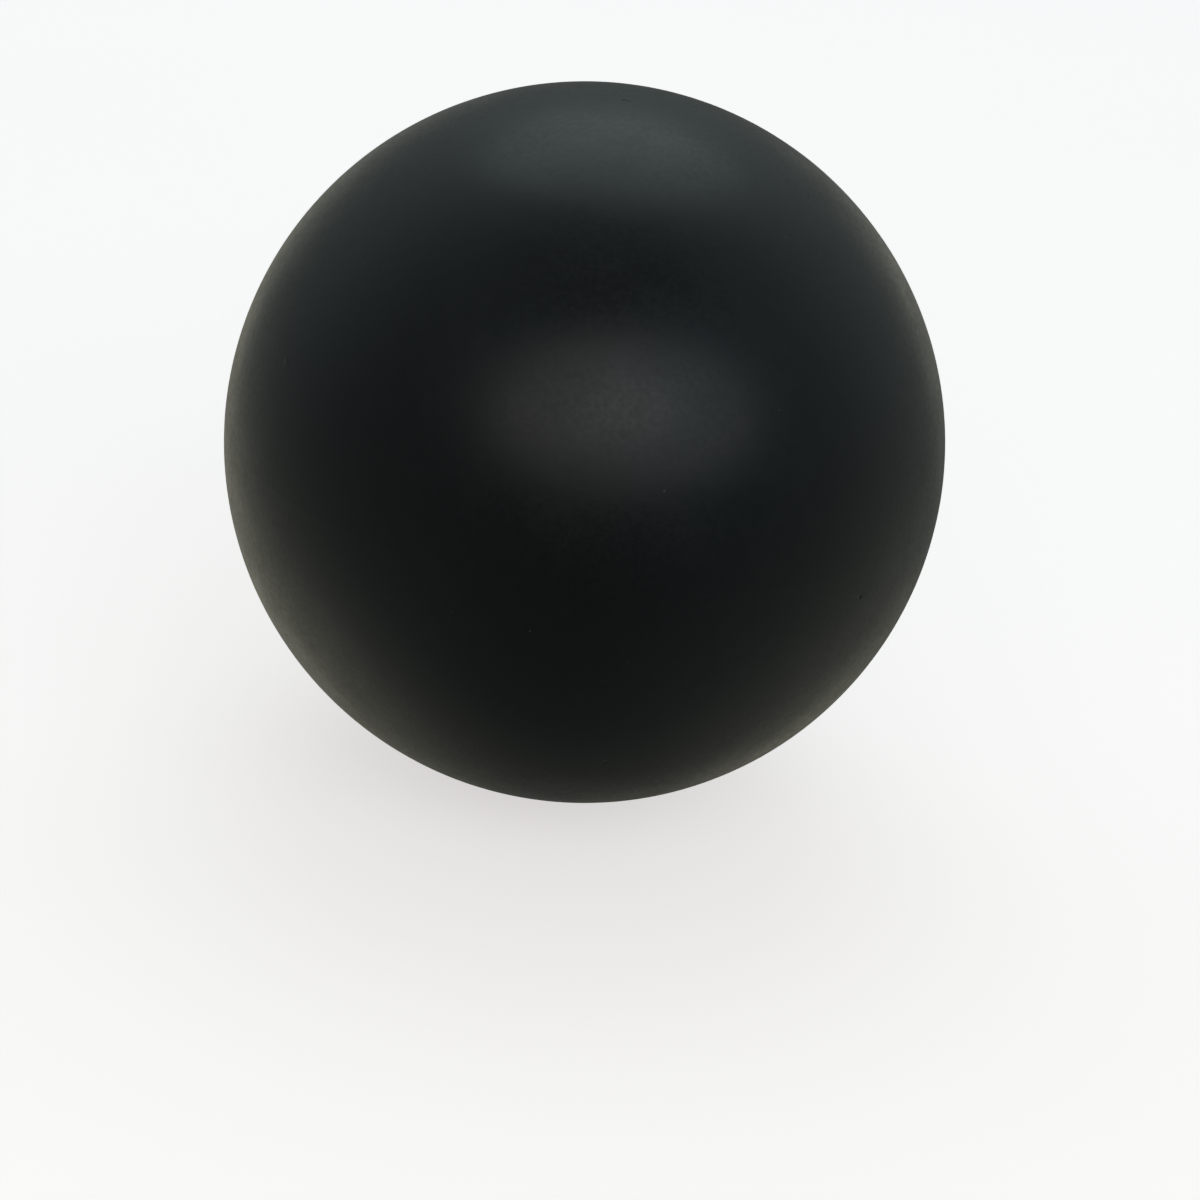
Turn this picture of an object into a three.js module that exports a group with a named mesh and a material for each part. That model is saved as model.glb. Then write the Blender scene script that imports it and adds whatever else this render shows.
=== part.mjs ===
// Inflatable friction ball for opening and closing screwed watch case backs.
// Millimetres, +Z up. The origin is the ball's centre and +Z is the valve axis, out through the needle hole.
// Two moulded rubber half shells are cemented rim to rim, with a needle valve built into the upper one:
//   upper_shell        half shell with a flat land inside its pole and a fine needle hole through it
//   lower_shell        plain half shell
//   seam_bond_ring     film of vulcanised cement between the two ground rims
//   valve_housing      flanged rubber tube that hangs from the land, inside the ball
//   flange_bond_ring   film of cement between the housing's flange and the land
//   valve_plug         soft self-sealing plug, held in the housing by its head and its bulb
import * as THREE from "three";

// Driving dimensions
const BALL_DIAMETER = 65;
const WALL = 5;
const CEMENT_FILM = 0.2;
const NEEDLE_HOLE_DIAMETER = 0.7;
const NEEDLE_MOUTH_DIAMETER = 1.1;
const NEEDLE_MOUTH_DEPTH = 0.3;
const LAND_DIAMETER = 18.5;
const FLANGE_DIAMETER = 18;
const FLANGE_THICKNESS = 1.6;
const STEM_DIAMETER = 10;
const STEM_LENGTH = 8.4;
const BORE_DIAMETER = 5;
const HEAD_SEAT_DIAMETER = 8;
const HEAD_SEAT_DEPTH = 1.2;
const GROOVE_DIAMETER = 7;
const GROOVE_HEIGHT = 2;
const GROOVE_TO_STEM_END = 2.6;
const PLUG_CLEARANCE = 0.05;
const PLUG_TIP_LENGTH = 1.6;
const PLUG_TIP_DIAMETER = 2.6;
const PILOT_DEPTH = 6;
const FUNNEL_DIAMETER = 1.6;
const FUNNEL_DEPTH = 0.6;
const EDGE_CHAMFER = 0.5;

// Facets
const SHELL_SIDES = 48;
const VALVE_SIDES = 32;
const OUTER_RINGS = 12;
const INNER_RINGS = 10;

// Sizes that follow from the driving ones
const OUTER_RADIUS = BALL_DIAMETER / 2;
const INNER_RADIUS = OUTER_RADIUS - WALL;
const NEEDLE_HOLE_RADIUS = NEEDLE_HOLE_DIAMETER / 2;
const NEEDLE_MOUTH_RADIUS = NEEDLE_MOUTH_DIAMETER / 2;
const FLANGE_RADIUS = FLANGE_DIAMETER / 2;
const STEM_RADIUS = STEM_DIAMETER / 2;
const BORE_RADIUS = BORE_DIAMETER / 2;
const HEAD_SEAT_RADIUS = HEAD_SEAT_DIAMETER / 2;
const GROOVE_RADIUS = GROOVE_DIAMETER / 2;
const RIM_Z = CEMENT_FILM / 2;
const LAND_Z = heightOn(INNER_RADIUS, LAND_DIAMETER / 2);
const FLANGE_TOP_Z = LAND_Z - CEMENT_FILM;
const FLANGE_LOW_Z = FLANGE_TOP_Z - FLANGE_THICKNESS;
const HEAD_SEAT_Z = FLANGE_TOP_Z - HEAD_SEAT_DEPTH;
const STEM_END_Z = FLANGE_LOW_Z - STEM_LENGTH;
const GROOVE_LOW_Z = STEM_END_Z + GROOVE_TO_STEM_END;
const GROOVE_HIGH_Z = GROOVE_LOW_Z + GROOVE_HEIGHT;

// Height above the centre of the point on a sphere that lies this far from the valve axis.
function heightOn(sphereRadius, fromAxis) {
  return Math.sqrt(sphereRadius ** 2 - fromAxis ** 2);
}

// Points (radius, height) along a sphere's meridian, from one height to another, in equal angles.
function meridian(sphereRadius, fromZ, toZ, steps) {
  const start = Math.asin(fromZ / sphereRadius);
  const end = Math.asin(toZ / sphereRadius);
  return Array.from({ length: steps + 1 }, (_, i) => {
    const latitude = start + ((end - start) * i) / steps;
    return [sphereRadius * Math.cos(latitude), sphereRadius * Math.sin(latitude)];
  });
}

// A solid turned about the valve axis from its half section: points (radius, height) in counterclockwise
// order. A section that stays clear of the axis is closed on its own first point.
function turned(section, sides) {
  const points = section.map(([radius, z]) => new THREE.Vector2(radius, z));
  const startsOnAxis = points[0].x === 0;
  if (!startsOnAxis) points.push(points[0].clone());
  const geometry = new THREE.LatheGeometry(points, sides);
  geometry.rotateX(Math.PI / 2);
  return geometry;
}

function rubber(color, roughness) {
  return new THREE.MeshStandardMaterial({ color, roughness, metalness: 0 });
}

const frictionRubber = rubber(0x17191a, 0.5);
const cement = rubber(0x141515, 0.6);
const housingRubber = rubber(0x1d1c1a, 0.65);
const plugRubber = rubber(0x2a2723, 0.45);

function upperShell() {
  const mouthZ = heightOn(OUTER_RADIUS, NEEDLE_MOUTH_RADIUS);
  const section = [
    ...meridian(OUTER_RADIUS, RIM_Z, mouthZ, OUTER_RINGS),
    [NEEDLE_HOLE_RADIUS, mouthZ - NEEDLE_MOUTH_DEPTH],
    [NEEDLE_HOLE_RADIUS, LAND_Z],
    ...meridian(INNER_RADIUS, LAND_Z, RIM_Z, INNER_RINGS),
  ];
  return new THREE.Mesh(turned(section, SHELL_SIDES), frictionRubber);
}

function lowerShell() {
  const outside = meridian(OUTER_RADIUS, -OUTER_RADIUS, -RIM_Z, OUTER_RINGS);
  const inside = meridian(INNER_RADIUS, -RIM_Z, -INNER_RADIUS, INNER_RINGS);
  const [outerPole, innerPole] = [outside[0], inside.at(-1)];
  outerPole[0] = 0;
  innerPole[0] = 0;
  return new THREE.Mesh(turned([...outside, ...inside], SHELL_SIDES), frictionRubber);
}

function seamBondRing() {
  const outside = meridian(OUTER_RADIUS, -RIM_Z, RIM_Z, 1);
  const inside = meridian(INNER_RADIUS, RIM_Z, -RIM_Z, 1);
  return new THREE.Mesh(turned([...outside, ...inside], SHELL_SIDES), cement);
}

function valveHousing() {
  const section = [
    [BORE_RADIUS, STEM_END_Z],
    [STEM_RADIUS - EDGE_CHAMFER, STEM_END_Z],
    [STEM_RADIUS, STEM_END_Z + EDGE_CHAMFER],
    [STEM_RADIUS, FLANGE_LOW_Z - EDGE_CHAMFER],
    [STEM_RADIUS + EDGE_CHAMFER, FLANGE_LOW_Z],
    [FLANGE_RADIUS - EDGE_CHAMFER, FLANGE_LOW_Z],
    [FLANGE_RADIUS, FLANGE_LOW_Z + EDGE_CHAMFER],
    [FLANGE_RADIUS, FLANGE_TOP_Z],
    [HEAD_SEAT_RADIUS, FLANGE_TOP_Z],
    [HEAD_SEAT_RADIUS, HEAD_SEAT_Z],
    [BORE_RADIUS, HEAD_SEAT_Z],
    [BORE_RADIUS, GROOVE_HIGH_Z],
    [GROOVE_RADIUS, GROOVE_HIGH_Z],
    [GROOVE_RADIUS, GROOVE_LOW_Z],
    [BORE_RADIUS, GROOVE_LOW_Z],
  ];
  return new THREE.Mesh(turned(section, VALVE_SIDES), housingRubber);
}

function flangeBondRing() {
  const section = [
    [HEAD_SEAT_RADIUS, FLANGE_TOP_Z],
    [FLANGE_RADIUS, FLANGE_TOP_Z],
    [FLANGE_RADIUS, LAND_Z],
    [HEAD_SEAT_RADIUS, LAND_Z],
  ];
  return new THREE.Mesh(turned(section, VALVE_SIDES), cement);
}

function valvePlug() {
  const shaft = BORE_RADIUS - PLUG_CLEARANCE;
  const head = HEAD_SEAT_RADIUS - PLUG_CLEARANCE;
  const bulb = GROOVE_RADIUS - PLUG_CLEARANCE;
  const tipZ = STEM_END_Z - PLUG_TIP_LENGTH;
  const headLowZ = HEAD_SEAT_Z + PLUG_CLEARANCE;
  const bulbHighZ = GROOVE_HIGH_Z - PLUG_CLEARANCE;
  const bulbLowZ = GROOVE_LOW_Z + PLUG_CLEARANCE;
  const section = [
    [0, tipZ],
    [PLUG_TIP_DIAMETER / 2, tipZ],
    [shaft, STEM_END_Z],
    [shaft, bulbLowZ],
    [bulb - EDGE_CHAMFER, bulbLowZ],
    [bulb, bulbLowZ + EDGE_CHAMFER],
    [bulb, bulbHighZ],
    [shaft, bulbHighZ],
    [shaft, headLowZ],
    [head, headLowZ],
    [head, FLANGE_TOP_Z],
    [FUNNEL_DIAMETER / 2, FLANGE_TOP_Z],
    [NEEDLE_HOLE_RADIUS, FLANGE_TOP_Z - FUNNEL_DEPTH],
    [NEEDLE_HOLE_RADIUS, FLANGE_TOP_Z - PILOT_DEPTH],
    [0, FLANGE_TOP_Z - PILOT_DEPTH],
  ];
  return new THREE.Mesh(turned(section, VALVE_SIDES), plugRubber);
}

const pieces = {
  upper_shell: upperShell(),
  lower_shell: lowerShell(),
  seam_bond_ring: seamBondRing(),
  valve_housing: valveHousing(),
  flange_bond_ring: flangeBondRing(),
  valve_plug: valvePlug(),
};

const ball = new THREE.Group();
for (const [name, mesh] of Object.entries(pieces)) {
  mesh.name = name;
  ball.add(mesh);
}

export default ball;
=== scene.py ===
"""Looks of the case opening friction ball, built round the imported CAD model.

Metres, origin at the ball's centre, +Z up and out through the needle hole. Every piece is turned from a half
section. The shells are fine arcs, and the pieces inside repeat the CAD's outlines with rounded corners. The
skin is then marked with moulding pits, one scuff and a faint waviness.
"""

import math

import bmesh
import bpy
from mathutils import Euler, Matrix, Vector, noise


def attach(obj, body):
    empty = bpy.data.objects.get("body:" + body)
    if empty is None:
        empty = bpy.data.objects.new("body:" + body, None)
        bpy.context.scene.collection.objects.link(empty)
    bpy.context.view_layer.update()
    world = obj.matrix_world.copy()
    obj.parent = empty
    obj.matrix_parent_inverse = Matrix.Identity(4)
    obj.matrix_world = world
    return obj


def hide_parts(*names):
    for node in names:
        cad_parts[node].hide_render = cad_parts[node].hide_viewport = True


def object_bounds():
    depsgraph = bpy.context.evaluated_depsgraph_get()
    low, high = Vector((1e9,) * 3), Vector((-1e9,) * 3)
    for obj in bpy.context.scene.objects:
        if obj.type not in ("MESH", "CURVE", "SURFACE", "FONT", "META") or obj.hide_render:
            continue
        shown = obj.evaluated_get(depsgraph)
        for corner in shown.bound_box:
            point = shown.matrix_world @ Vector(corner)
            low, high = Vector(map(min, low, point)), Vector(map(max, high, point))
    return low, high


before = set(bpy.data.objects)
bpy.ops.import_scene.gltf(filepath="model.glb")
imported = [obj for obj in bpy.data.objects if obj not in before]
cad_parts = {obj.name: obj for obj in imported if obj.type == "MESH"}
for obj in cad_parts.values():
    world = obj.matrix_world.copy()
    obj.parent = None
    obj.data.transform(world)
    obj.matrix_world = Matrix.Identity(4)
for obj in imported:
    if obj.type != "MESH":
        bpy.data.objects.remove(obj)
CAD_LOW, CAD_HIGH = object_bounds()

MM = 0.001
BODY = "root"

# What lies nearer the valve axis than this is on it
ON_AXIS = 1e-7

# Decimal places, in metres, by which corners are told apart
PLACES = 7


# ---------------------------------------------------------------- outlines


def half_section(node):
    """The half section of a turned CAD node: points (distance from the valve axis, height), in order.

    It starts on the axis if the node reaches it.
    """
    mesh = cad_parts[node].data
    neighbours = {}
    for edge in mesh.edges:
        ends = [mesh.vertices[i].co for i in edge.vertices]
        if all(abs(end.y) < ON_AXIS and end.x > -ON_AXIS for end in ends):
            first, second = [(round(end.x, PLACES), round(end.z, PLACES)) for end in ends]
            neighbours.setdefault(first, set()).add(second)
            neighbours.setdefault(second, set()).add(first)
    outline = [min(neighbours)]
    while True:
        ahead = neighbours[outline[-1]] - set(outline)
        if not ahead:
            return outline
        outline.append(min(ahead))


SHELL = half_section("upper_shell")
CEMENT = half_section("flange_bond_ring")
BALL_RADIUS = CAD_HIGH.x
SEAM_Z = min(z for r, z in SHELL)
CHAMBER_RADIUS = min(math.hypot(r, z) for r, z in half_section("lower_shell"))
NEEDLE_HOLE_RADIUS = min(r for r, z in SHELL)
LAND_Z = max(z for r, z in CEMENT)
LAND_RADIUS = math.sqrt(CHAMBER_RADIUS**2 - LAND_Z**2)

# Distance between rings of faces
RING_SPACING = 0.8 * MM

# How corners are rounded. A round takes at most a share of the flats beside it. A support point on each flat,
# at a share of the round's size from it, keeps the flat flat.
CEMENT_ROUND = 0.05 * MM
MOULDED_ROUND = 0.2 * MM
ROUND_STEPS = 4
ROUND_SHARE = 1 / 3
SUPPORT_SHARE = 0.3

# The mouth of the needle hole. The rubber closes on itself, so only a soft dimple and a pinhole show
DIMPLE_RADIUS = 0.56 * MM
DIMPLE_DEPTH = 0.19 * MM
DIMPLE_EDGE = 1.4 * DIMPLE_RADIUS
DIMPLE_STEPS = 12
PINHOLE_RADIUS = 0.10 * MM
LIP_ROUND = 0.05 * MM
THROAT_LENGTH = 1.5 * MM


def arc(radius, start, end):
    """Points (distance from the axis, height) along a ball's meridian, between two heights."""
    first = math.asin(start / radius)
    last = math.asin(end / radius)
    steps = round(abs(last - first) * radius / RING_SPACING)
    angles = [first + (last - first) * i / steps for i in range(steps + 1)]
    return [(radius * math.cos(a), radius * math.sin(a)) for a in angles]


def fillet(before, corner, after, radius):
    """The points that round one corner of an outline, and one on either side that keeps the flats flat."""
    corner = Vector(corner)
    back = Vector(before) - corner
    ahead = Vector(after) - corner
    start = corner + back.normalized() * min(radius, back.length * ROUND_SHARE)
    end = corner + ahead.normalized() * min(radius, ahead.length * ROUND_SHARE)
    shares = [i / ROUND_STEPS for i in range(ROUND_STEPS + 1)]
    curve = [start * (1 - t) ** 2 + corner * 2 * t * (1 - t) + end * t**2 for t in shares]
    flats = [start + (start - corner) * SUPPORT_SHARE, end + (end - corner) * SUPPORT_SHARE]
    return [tuple(point) for point in (flats[0], *curve, flats[1])]


def rounded(outline, radius):
    """A closed outline with every corner off the axis rounded."""
    points = []
    for i, corner in enumerate(outline):
        if corner[0] < ON_AXIS:
            points.append(corner)
        else:
            points += fillet(outline[i - 1], corner, outline[(i + 1) % len(outline)], radius)
    return points


# ---------------------------------------------------------------- turned meshes

# Corners in a ring, and how close they may lie before their number is halved
MOST_SIDES = 256
FEWEST_SIDES = 32
LEAST_SPACING = 0.35 * MM

# Edges that bend more than this stay sharp
SHARP = math.radians(50)

# A shell's material slots
SKIN, INSIDE = 0, 1


def sides_at(radius):
    """How many corners a ring has, halved towards the axis so that faces keep their size."""
    sides = MOST_SIDES
    while sides > FEWEST_SIDES and 2 * math.pi * radius / sides < LEAST_SPACING:
        sides //= 2
    return sides


def ring(bm, radius, z):
    """One ring of corners about the valve axis, or the one corner of a pole."""
    if radius < ON_AXIS:
        return [bm.verts.new((0, 0, z))]
    turns = [2 * math.pi * i / sides_at(radius) for i in range(sides_at(radius))]
    return [bm.verts.new((radius * math.cos(t), radius * math.sin(t), z)) for t in turns]


def strip(many, few):
    """Faces from a ring to one with as many corners, half as many, or one."""
    count = len(many)
    if len(few) == 1:
        return [(many[i], many[(i + 1) % count], few[0]) for i in range(count)]
    if len(few) == count:
        return [(many[i], many[(i + 1) % count], few[(i + 1) % count], few[i]) for i in range(count)]
    faces = []
    for i, corner in enumerate(few):
        left, middle, right = many[2 * i], many[2 * i + 1], many[(2 * i + 2) % count]
        faces.append((left, middle, corner))
        faces.append((middle, right, few[(i + 1) % len(few)], corner))
    return faces


def turned(*stretches):
    """A bmesh turned about the valve axis.

    Each stretch is some points of the half section's outline and their material's index. An outline that
    stays off the axis closes on its own first point.
    """
    bm = bmesh.new()
    outline = [(point, index) for points, index in stretches for point in points]
    rings = [ring(bm, *point) for point, index in outline]
    if len(rings[0]) > 1:
        rings.append(rings[0])
    for first, second, (point, index) in zip(rings, rings[1:], outline):
        many, few = (first, second) if len(first) >= len(second) else (second, first)
        for face_corners in strip(many, few):
            face = bm.faces.new(face_corners)
            face.material_index = index
            face.smooth = True
    bmesh.ops.recalc_face_normals(bm, faces=bm.faces)
    for edge in bm.edges:
        edge.smooth = edge.calc_face_angle() < SHARP
    return bm


def piece(name, node, slot, bm, *materials):
    """Makes a finished object that rides on the ball and stands for one CAD node."""
    mesh = bpy.data.meshes.new(name)
    bm.to_mesh(mesh)
    bm.free()
    for material in materials:
        mesh.materials.append(material)
    obj = bpy.data.objects.new(name, mesh)
    bpy.context.scene.collection.objects.link(obj)
    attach(obj, BODY)
    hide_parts(node)


# ---------------------------------------------------------------- marks in the skin

# The waviness: its length and depth, and how far from the seam it is full, then its octaves' fading, ratio
# and number
WAVE_LENGTH = 5 * MM
WAVE_DEPTH = 0.012 * MM
WAVE_FADE = 2 * MM
WAVE_OCTAVES = (0.9, 2.0, 3)

# Moulding pits: longitude and latitude in degrees, radius and depth in millimetres
PITS = [
    (-39, -5, 0.20, 0.070),
    (-68, -2, 0.34, 0.018),
    (-82, -16, 0.36, 0.018),
    (-79, -35, 0.22, 0.030),
    (-51, -31, 0.20, 0.025),
    (35, 48, 0.30, 0.020),
    (78, -12, 0.26, 0.030),
    (112, 22, 0.22, 0.030),
    (140, -41, 0.32, 0.020),
    (-171, -8, 0.24, 0.025),
    (171, 38, 0.20, 0.025),
]

# A scuff that has raised a crescent fold: longitude, latitude and the way it bulges, as an angle from east to
# north, all in degrees, then the arc's radius, half width and height in millimetres
SCUFF = (-148, 20, -115, 0.60, 0.22, 0.045)


def on_ball(longitude, latitude):
    """A place on the ball. Longitude -90 faces the camera and latitude 90 is the needle hole, in degrees."""
    lon, lat = math.radians(longitude), math.radians(latitude)
    return BALL_RADIUS * Vector((math.cos(lat) * math.cos(lon), math.cos(lat) * math.sin(lon), math.sin(lat)))


def skin_near(bm, centre, reach):
    """The skin's faces within reach of a point."""
    skin = [face for face in bm.faces if face.material_index == SKIN]
    return [face for face in skin if (face.calc_center_median() - centre).length < reach]


def corners_of(faces):
    """The corners of some faces, once each, always in the same order."""
    return list(dict.fromkeys(corner for face in faces for corner in face.verts))


def refine(bm, centre, reach, spacing):
    """Splits the skin's faces round a point into ones small enough to carry a mark."""
    edges = dict.fromkeys(edge for face in skin_near(bm, centre, reach) for edge in face.edges)
    cuts = math.ceil(RING_SPACING / spacing) - 1
    made = bmesh.ops.subdivide_edges(bm, edges=list(edges), cuts=cuts, use_grid_fill=True)
    for corner in made["geom_inner"]:
        if isinstance(corner, bmesh.types.BMVert):
            corner.co = corner.co.normalized() * BALL_RADIUS


def press(bm, centre, reach, depth_at):
    """Moves the skin inward near a point, by the depth that depth_at gives for a place."""
    for corner in corners_of(skin_near(bm, centre, reach)):
        corner.co -= corner.co.normalized() * depth_at(corner.co)


def pit(bm, longitude, latitude, radius, depth):
    """A small round pit with a flat floor and a soft edge."""
    centre = on_ball(longitude, latitude)

    def depth_at(place):
        across = (place - centre).length / radius
        return depth * math.exp(-(across**4))

    fine_reach = 2 * radius
    spacing = radius / 4
    reach = 3 * radius
    refine(bm, centre, fine_reach, spacing)
    press(bm, centre, reach, depth_at)


def scuff(bm, longitude, latitude, bulge, bend, half_width, height):
    """A crescent fold: a third of a circle, fading towards its ends."""
    centre = on_ball(longitude, latitude)
    half_sweep = math.pi / 3
    east = Vector((-centre.y, centre.x, 0)).normalized()
    north = centre.normalized().cross(east)

    def depth_at(place):
        x, y = (place - centre).dot(east), (place - centre).dot(north)
        across = (math.hypot(x, y) - bend) / half_width
        angle = abs(math.remainder(math.atan2(y, x) - math.radians(bulge), 2 * math.pi))
        fade = math.cos(math.pi / 2 * min(angle / half_sweep, 1))
        return -height * fade * math.exp(-(across**2))

    fine_reach = bend + 2 * half_width
    spacing = half_width / 2
    reach = bend + 4 * half_width
    refine(bm, centre, fine_reach, spacing)
    press(bm, centre, reach, depth_at)


def wave(bm):
    """An inflated skin is never quite even: it lies a few microns in here and there, except at the seam."""
    for corner in corners_of(face for face in bm.faces if face.material_index == SKIN):
        outward = corner.co.normalized()
        level = 0.5 + 0.5 * noise.fractal(outward * (BALL_RADIUS / WAVE_LENGTH), *WAVE_OCTAVES)
        fade = min(1.0, (abs(corner.co.z) - SEAM_Z) / WAVE_FADE)
        corner.co -= outward * WAVE_DEPTH * min(max(level, 0.0), 1.0) * fade


def mark_skin(bm, upper):
    """All marks of one half shell."""
    for longitude, latitude, radius, depth in PITS:
        if (latitude > 0) == upper:
            pit(bm, longitude, latitude, radius * MM, depth * MM)
    if upper:
        longitude, latitude, bulge, *sizes = SCUFF
        scuff(bm, longitude, latitude, bulge, *(size * MM for size in sizes))
    wave(bm)


# ---------------------------------------------------------------- the pieces


def dimple_z(from_axis):
    """Height of the skin round the needle hole, at a distance from the valve axis."""
    share = min(from_axis / DIMPLE_RADIUS, 1.0)
    ball_z = math.sqrt(BALL_RADIUS**2 - from_axis**2)
    return ball_z - DIMPLE_DEPTH * (1 + math.cos(math.pi * share)) / 2


def needle_mouth():
    """The outline from the skin over the dimple and down the pinhole, which opens out to the needle hole."""
    lip = PINHOLE_RADIUS + LIP_ROUND
    radii = [DIMPLE_EDGE + (lip - DIMPLE_EDGE) * i / DIMPLE_STEPS for i in range(DIMPLE_STEPS + 1)]
    dimple = [(r, dimple_z(r)) for r in radii]
    top = (PINHOLE_RADIUS, dimple_z(lip))
    throat = (NEEDLE_HOLE_RADIUS, top[1] - THROAT_LENGTH)
    return dimple[:-1] + fillet(dimple[-1], top, throat, LIP_ROUND) + [throat]


def upper_shell(skin, wall):
    """The half with the needle hole through its pole and a flat land inside it."""
    mouth = needle_mouth()
    chamber = arc(CHAMBER_RADIUS, LAND_Z, SEAM_Z)
    land = [(NEEDLE_HOLE_RADIUS, LAND_Z), (LAND_RADIUS / 2, LAND_Z)]
    corner = fillet(land[-1], (LAND_RADIUS, LAND_Z), chamber[1], MOULDED_ROUND)
    outside = arc(BALL_RADIUS, SEAM_Z, mouth[0][1])[:-1]
    bm = turned((outside + mouth, SKIN), (land + corner + chamber[1:], INSIDE))
    mark_skin(bm, upper=True)
    piece("upper_shell_rubber", "upper_shell", "friction_rubber", bm, skin, wall)


def lower_shell(skin, wall):
    """The plain half."""
    outside = arc(BALL_RADIUS, -BALL_RADIUS, -SEAM_Z)
    chamber = arc(CHAMBER_RADIUS, -SEAM_Z, -CHAMBER_RADIUS)
    bm = turned((outside[:-1], SKIN), ([outside[-1]] + chamber, INSIDE))
    mark_skin(bm, upper=False)
    piece("lower_shell_rubber", "lower_shell", "friction_rubber", bm, skin, wall)


def seam_cement(cement):
    """The film between the two rims, flush with the skin."""
    bm = turned((half_section("seam_bond_ring"), 0))
    piece("seam_cement", "seam_bond_ring", "rubber_cement", bm, cement)


def flange_cement(cement):
    """The film between the housing's flange and the land."""
    bm = turned((rounded(CEMENT, CEMENT_ROUND), 0))
    piece("flange_cement", "flange_bond_ring", "rubber_cement", bm, cement)


def valve_housing(rubber):
    """The flanged tube that hangs from the land."""
    bm = turned((rounded(half_section("valve_housing"), MOULDED_ROUND), 0))
    piece("valve_housing_rubber", "valve_housing", "housing_rubber", bm, rubber)


def valve_plug(rubber):
    """The self-sealing plug in the housing."""
    bm = turned((rounded(half_section("valve_plug"), MOULDED_ROUND), 0))
    piece("valve_plug_rubber", "valve_plug", "plug_rubber", bm, rubber)


# ---------------------------------------------------------------- materials


RUBBER_IOR = 1.5


class Graph:
    """A material's node tree, built from calls that each return the new node's output.

    Sizes, distances and depths are in millimetres.
    """

    def __init__(self, name):
        self.material = bpy.data.materials.new(name)
        self.material.use_nodes = True
        self.nodes = self.material.node_tree.nodes
        self.shader = self.nodes["Principled BSDF"]
        coordinates = self.nodes.new("ShaderNodeTexCoord").outputs["Object"]
        self.mm = self.node("VectorMath", operation="SCALE", Vector=coordinates, Scale=1 / MM).outputs[0]

    def node(self, kind, **given):
        """A shader node. What is given sets the node's own settings, or its inputs by name."""
        node = self.nodes.new("ShaderNode" + kind)
        settings = [name for name in given if hasattr(node, name)]
        for name in settings:
            setattr(node, name, given.pop(name))
        for name, value in given.items():
            self.feed(node.inputs[name], value)
        return node

    def feed(self, socket, value):
        """Links an output to an input, or sets the input's own value."""
        if isinstance(value, bpy.types.NodeSocket):
            self.material.node_tree.links.new(value, socket)
        else:
            socket.default_value = value

    def noise(self, size, detail=2.0, roughness=0.5, distortion=0.0):
        """Cloudy noise, 0 to 1, with patches of about one size."""
        given = {"Vector": self.mm, "Scale": 1 / size, "Detail": detail}
        return self.node("TexNoise", Roughness=roughness, Distortion=distortion, **given).outputs[0]

    def cells(self, size):
        """Distance from the nearest of many scattered points, about one size apart."""
        near = self.node("TexVoronoi", Vector=self.mm, Scale=1 / size)
        return self.math("MULTIPLY", near.outputs["Distance"], size)

    def ramp(self, value, start, end, low=0.0, high=1.0):
        """Takes start..end to low..high, with soft ends and nothing beyond them."""
        node = self.node("MapRange", interpolation_type="SMOOTHSTEP", Value=value)
        for name, given in (("From Min", start), ("From Max", end), ("To Min", low), ("To Max", high)):
            node.inputs[name].default_value = given
        return node.outputs[0]

    def math(self, operation, first, second):
        """One step of arithmetic."""
        node = self.node("Math", operation=operation)
        self.feed(node.inputs[0], first)
        self.feed(node.inputs[1], second)
        return node.outputs[0]

    def sum(self, *values):
        """All values added up."""
        total = values[0]
        for value in values[1:]:
            total = self.math("ADD", total, value)
        return total

    def mix(self, share, first, second):
        """A colour between two colours."""
        node = self.node("Mix", data_type="RGBA")
        inputs = {socket.identifier: socket for socket in node.inputs}
        for name, value in (("Factor_Float", share), ("A_Color", first), ("B_Color", second)):
            self.feed(inputs[name], value)
        return next(socket for socket in node.outputs if socket.identifier == "Result_Color")

    def finish(self, color, roughness, height, depth):
        """Feeds the shader. Height is 0 to 1, and depth is how far that is."""
        self.feed(self.shader.inputs["Base Color"], color)
        self.feed(self.shader.inputs["Roughness"], roughness)
        bump = self.node("Bump", Height=height, Distance=depth * MM)
        self.feed(self.shader.inputs["Normal"], bump.outputs[0])
        self.shader.inputs["IOR"].default_value = RUBBER_IOR
        return self.material


def friction_skin():
    """Satin black friction rubber: fine moulded grain, cloudy bloom, smudges, handled patches and dust."""
    g = Graph("friction_skin")
    grain = g.noise(0.48, detail=1.5, roughness=0.5)
    cloud = g.noise(9, detail=3.0, roughness=0.55, distortion=0.4)
    blotch = g.noise(3.2, detail=2.0)
    handled = g.ramp(g.noise(14, detail=1.0, distortion=0.8), 0.52, 0.70)
    dust = g.ramp(g.cells(3.6), 0.05, 0.16, 1.0, 0.0)
    smudge = g.ramp(g.noise(1.3, detail=1.0, distortion=0.3), 0.45, 0.75)
    black = g.mix(cloud, (0.0026, 0.0030, 0.0030, 1), (0.0040, 0.0045, 0.0043, 1))
    bloomed = g.mix(g.math("MULTIPLY", smudge, 0.3), black, (0.007, 0.0075, 0.0075, 1))
    color = g.mix(g.math("MULTIPLY", dust, 0.7), bloomed, (0.08, 0.08, 0.076, 1))
    roughness = g.sum(
        g.ramp(cloud, 0.3, 0.7, 0.33, 0.37),
        g.ramp(grain, 0.3, 0.7, -0.03, 0.03),
        g.ramp(blotch, 0.35, 0.65, -0.01, 0.01),
        g.math("MULTIPLY", handled, -0.03),
        g.math("MULTIPLY", smudge, 0.008),
        g.math("MULTIPLY", dust, 0.3),
    )
    height = g.sum(g.math("MULTIPLY", grain, 0.8), g.math("MULTIPLY", dust, 0.8))
    return g.finish(color, roughness, height, depth=0.005)


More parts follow.
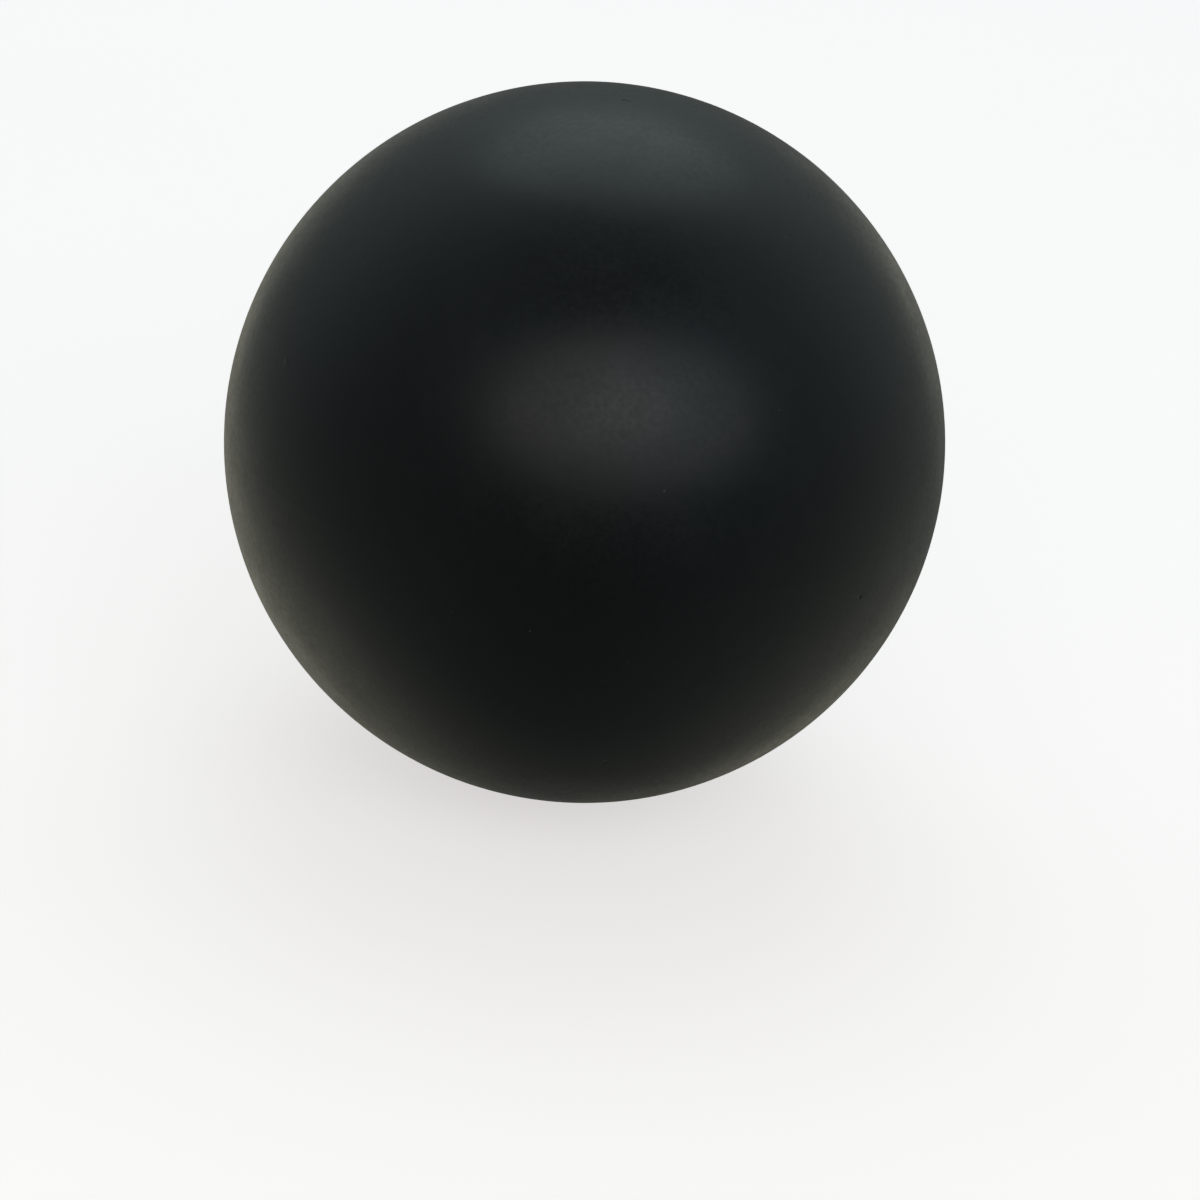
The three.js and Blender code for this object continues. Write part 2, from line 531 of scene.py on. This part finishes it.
def chamber_wall():
    """The shells' inner wall: matt, dusted with talc that has gathered in clouds."""
    g = Graph("chamber_wall")
    talc = g.ramp(g.noise(4.5, detail=5.0, roughness=0.65, distortion=0.5), 0.38, 0.72)
    grain = g.noise(0.5, detail=3.0)
    dusted = g.mix(talc, (0.011, 0.0115, 0.0115, 1), (0.085, 0.083, 0.078, 1))
    roughness = g.ramp(talc, 0.0, 1.0, 0.62, 0.86)
    height = g.sum(grain, g.math("MULTIPLY", talc, 0.6))
    return g.finish(dusted, roughness, height, depth=0.03)


def rubber_cement():
    """Vulcanised cement, buffed flush with the skin and as black, finely streaked, with pinholes."""
    g = Graph("rubber_cement")
    streak = g.noise(0.8, detail=4.0, roughness=0.6, distortion=1.5)
    pinholes = g.ramp(g.cells(0.7), 0.03, 0.09)
    color = g.mix(streak, (0.0034, 0.0038, 0.0038, 1), (0.0052, 0.0057, 0.0055, 1))
    roughness = g.ramp(streak, 0.3, 0.7, 0.33, 0.37)
    height = g.sum(streak, g.math("MULTIPLY", pinholes, 0.7))
    return g.finish(color, roughness, height, depth=0.004)


def housing_rubber():
    """Brown black moulded rubber: dull, with mould sand grain and a pale bloom."""
    g = Graph("housing_rubber")
    grain = g.noise(0.22, detail=3.0, roughness=0.6)
    bloom = g.ramp(g.noise(2.4, detail=4.0, distortion=0.4), 0.42, 0.74)
    color = g.mix(bloom, (0.017, 0.015, 0.013, 1), (0.052, 0.049, 0.045, 1))
    roughness = g.sum(g.ramp(bloom, 0.0, 1.0, 0.56, 0.72), g.ramp(grain, 0.3, 0.7, -0.04, 0.04))
    return g.finish(color, roughness, grain, depth=0.02)


def plug_rubber():
    """Soft oiled rubber: darker and glossier where the oil has pooled."""
    g = Graph("plug_rubber")
    oil = g.ramp(g.noise(1.8, detail=2.0, distortion=0.6), 0.40, 0.62)
    grain = g.noise(0.18, detail=2.0)
    color = g.mix(oil, (0.046, 0.038, 0.031, 1), (0.026, 0.021, 0.017, 1))
    roughness = g.sum(g.ramp(oil, 0.0, 1.0, 0.48, 0.24), g.ramp(grain, 0.3, 0.7, -0.03, 0.03))
    return g.finish(color, roughness, grain, depth=0.01)


# ---------------------------------------------------------------- camera

# Degrees above the ball, and degrees turned about the line of sight
CAMERA_ELEVATION = 22.0
CAMERA_ROLL = 6.9

# The lens and the sensor, in millimetres, and how near the camera can see, as a share of the way to the ball
LENS = 120.0
SENSOR = 36.0
NEAREST_SHARE = 1 / 10

# Where the ball stands in the frame, in halves of the frame: its radius, and its centre's place
BALL_SHARE = 0.6008
BALL_RIGHT = -0.0255
BALL_UP = 0.2610


def camera():
    """A long lens, from a little above. The valve axis leans slightly to the right."""
    half_frame = SENSOR / 2 / LENS
    distance = BALL_RADIUS / math.sin(math.atan(BALL_SHARE * half_frame))
    elevation = math.radians(CAMERA_ELEVATION)
    data = bpy.data.cameras.new("camera")
    data.lens = LENS
    data.sensor_width = SENSOR
    data.clip_start = distance * NEAREST_SHARE
    obj = bpy.data.objects.new("camera", data)
    bpy.context.scene.collection.objects.link(obj)
    bpy.context.scene.camera = obj
    facing = Euler((math.pi / 2 - elevation, 0, 0)).to_matrix().to_4x4()
    roll = Euler((0, 0, math.radians(CAMERA_ROLL))).to_matrix().to_4x4()
    aside = Euler((-math.atan(BALL_UP * half_frame), math.atan(BALL_RIGHT * half_frame), 0))
    obj.matrix_world = facing @ roll @ aside.to_matrix().to_4x4()
    obj.location = distance * Vector((0, -math.cos(elevation), math.sin(elevation)))


# ---------------------------------------------------------------- floor and light

# The floor: half its width in metres, two tones, the size of their clouds in millimetres, its roughness and
# its own glow
FLOOR_HALF = 4.0
FLOOR_TONES = (0.83, 0.78, 0.77, 1), (0.85, 0.80, 0.79, 1)
FLOOR_CLOUDS = 60
FLOOR_ROUGHNESS = 0.9
FLOOR_GLOW = (0.64, 0.62, 0.615, 1)


def floor():
    """A pale table with a glow of its own. It takes the ball's shadow, but the ball doesn't reflect it."""
    mesh = bpy.data.meshes.new("floor")
    ways = ((-1, -1), (1, -1), (1, 1), (-1, 1))
    corners = [(FLOOR_HALF * x, FLOOR_HALF * y, CAD_LOW.z) for x, y in ways]
    mesh.from_pydata(corners, [], [range(len(corners))])
    g = Graph("pale_floor")
    g.feed(g.shader.inputs["Base Color"], g.mix(g.noise(FLOOR_CLOUDS), *FLOOR_TONES))
    g.shader.inputs["Roughness"].default_value = FLOOR_ROUGHNESS
    g.shader.inputs["Emission Color"].default_value = FLOOR_GLOW
    g.shader.inputs["Emission Strength"].default_value = 1
    mesh.materials.append(g.material)
    obj = bpy.data.objects.new("floor", mesh)
    bpy.context.scene.collection.objects.link(obj)
    obj.visible_glossy = False
    obj.visible_diffuse = False
    obj.visible_shadow = False


def toward(azimuth, elevation):
    """Unit vector from the ball, in degrees: azimuth 0 is the camera's side, 90 is +X."""
    a, e = math.radians(azimuth), math.radians(elevation)
    return Vector((math.sin(a) * math.cos(e), -math.cos(a) * math.cos(e), math.sin(e)))


# Tints of the light, as red, green and blue
BLUE = (0.3, 0.7, 1.0)
COOL = (0.85, 1.0, 1.0)
CREAM = (1.0, 0.95, 0.75)
WARM = (1.0, 0.85, 0.7)
AMBER = (1.0, 0.5, 0.0)

# Metres from the ball to each soft light
LIGHT_DISTANCE = 0.6

# Soft lights: azimuth, elevation, width and height in degrees as the ball sees them, then the tint and its
# watts per square metre. In front is an amber lamp within a wide warm diffuser.
LIGHTS = {
    "overhead_softbox": (183, 56, 48, 44, COOL, 1.7),
    "front_diffuser": (13, 33, 82, 44, WARM, 1.8),
    "front_lamp": (11, 33, 30, 16, AMBER, 1.7),
}


def softbox(name, azimuth, elevation, width, height, tint, strength):
    """An elliptical area light that faces the ball."""
    data = bpy.data.lights.new(name, "AREA")
    data.shape = "ELLIPSE"
    data.size = 2 * LIGHT_DISTANCE * math.tan(math.radians(width / 2))
    data.size_y = 2 * LIGHT_DISTANCE * math.tan(math.radians(height / 2))
    data.color = tint
    data.energy = strength * data.size * data.size_y * math.pi / 4
    obj = bpy.data.objects.new(name, data)
    bpy.context.scene.collection.objects.link(obj)
    away = toward(azimuth, elevation)
    obj.location = away * LIGHT_DISTANCE
    obj.rotation_euler = away.to_track_quat("Z", "Y").to_euler()
    obj.visible_camera = False


# The room's glows: azimuth and elevation in degrees, sharpness, tint and strength
ROOM = [
    # Daylight about the front lamp
    (12, 33, 40, BLUE, 0.95),
    (-14, 34, 16, BLUE, 0.2),
    (-25, 33, 10, COOL, 0.15),
    (38, 32, 16, BLUE, 0.5),
    # Above and behind, then the walls
    (180, 48, 6, COOL, 0.25),
    (120, 30, 3, COOL, 0.3),
    (-120, 30, 3, COOL, 0.3),
    # Near the table's height, all round
    (60, -35, 3, COOL, 0.15),
    (-60, -35, 3, COOL, 0.15),
    (120, -40, 8, CREAM, 0.2),
    (-125, -45, 8, CREAM, 0.2),
    (-115, -50, 16, CREAM, 0.15),
    (-140, -30, 25, CREAM, 0.2),
    # Far behind, where the rims reflect
    (-160, -20, 25, CREAM, 0.3),
    (-157, -38, 60, CREAM, 0.2),
    (157, -38, 60, CREAM, 0.35),
    (-158, -6, 60, CREAM, 0.2),
    (158, -6, 60, CREAM, 0.45),
]

# Close to how the far floor looks, so that the horizon stays soft
BACKDROP = (0.827, 0.852, 0.865, 1)


def glow(tree, looking, azimuth, elevation, sharpness, tint, strength):
    """The shader of one soft glow of the room, brightest in one direction."""
    facing = tree.nodes.new("ShaderNodeVectorMath")
    facing.operation = "DOT_PRODUCT"
    facing.inputs[1].default_value = toward(azimuth, elevation)
    tree.links.new(looking, facing.inputs[0])
    exponent = tree.nodes.new("ShaderNodeMath")
    exponent.operation = "MULTIPLY_ADD"
    exponent.inputs[1].default_value = sharpness
    exponent.inputs[2].default_value = -sharpness
    tree.links.new(facing.outputs["Value"], exponent.inputs[0])
    lobe = tree.nodes.new("ShaderNodeMath")
    lobe.operation = "EXPONENT"
    tree.links.new(exponent.outputs[0], lobe.inputs[0])
    shader = tree.nodes.new("ShaderNodeBackground")
    shader.inputs["Color"].default_value = (*(strength * part for part in tint), 1)
    tree.links.new(lobe.outputs[0], shader.inputs["Strength"])
    return shader.outputs[0]


def room():
    """A world of soft glows. The camera itself sees a plain pale backdrop instead."""
    world = bpy.data.worlds.new("room")
    bpy.context.scene.world = world
    world.use_nodes = True
    tree = world.node_tree
    tree.nodes.clear()
    looking = tree.nodes.new("ShaderNodeTexCoord").outputs["Generated"]
    total, *others = [glow(tree, looking, *settings) for settings in ROOM]
    for other in others:
        add = tree.nodes.new("ShaderNodeAddShader")
        tree.links.new(total, add.inputs[0])
        tree.links.new(other, add.inputs[1])
        total = add.outputs[0]
    backdrop = tree.nodes.new("ShaderNodeBackground")
    backdrop.inputs["Color"].default_value = BACKDROP
    mix = tree.nodes.new("ShaderNodeMixShader")
    seen = tree.nodes.new("ShaderNodeLightPath").outputs["Is Camera Ray"]
    for source, socket in zip((seen, total, backdrop.outputs[0]), mix.inputs):
        tree.links.new(source, socket)
    out = tree.nodes.new("ShaderNodeOutputWorld")
    tree.links.new(mix.outputs[0], out.inputs["Surface"])


# ---------------------------------------------------------------- the scene

skin, wall, cement = friction_skin(), chamber_wall(), rubber_cement()
upper_shell(skin, wall)
lower_shell(skin, wall)
seam_cement(cement)
flange_cement(cement)
valve_housing(housing_rubber())
valve_plug(plug_rubber())

floor()
camera()
for name, settings in LIGHTS.items():
    softbox(name, *settings)
room()
bpy.context.scene.view_settings.view_transform = "Standard"
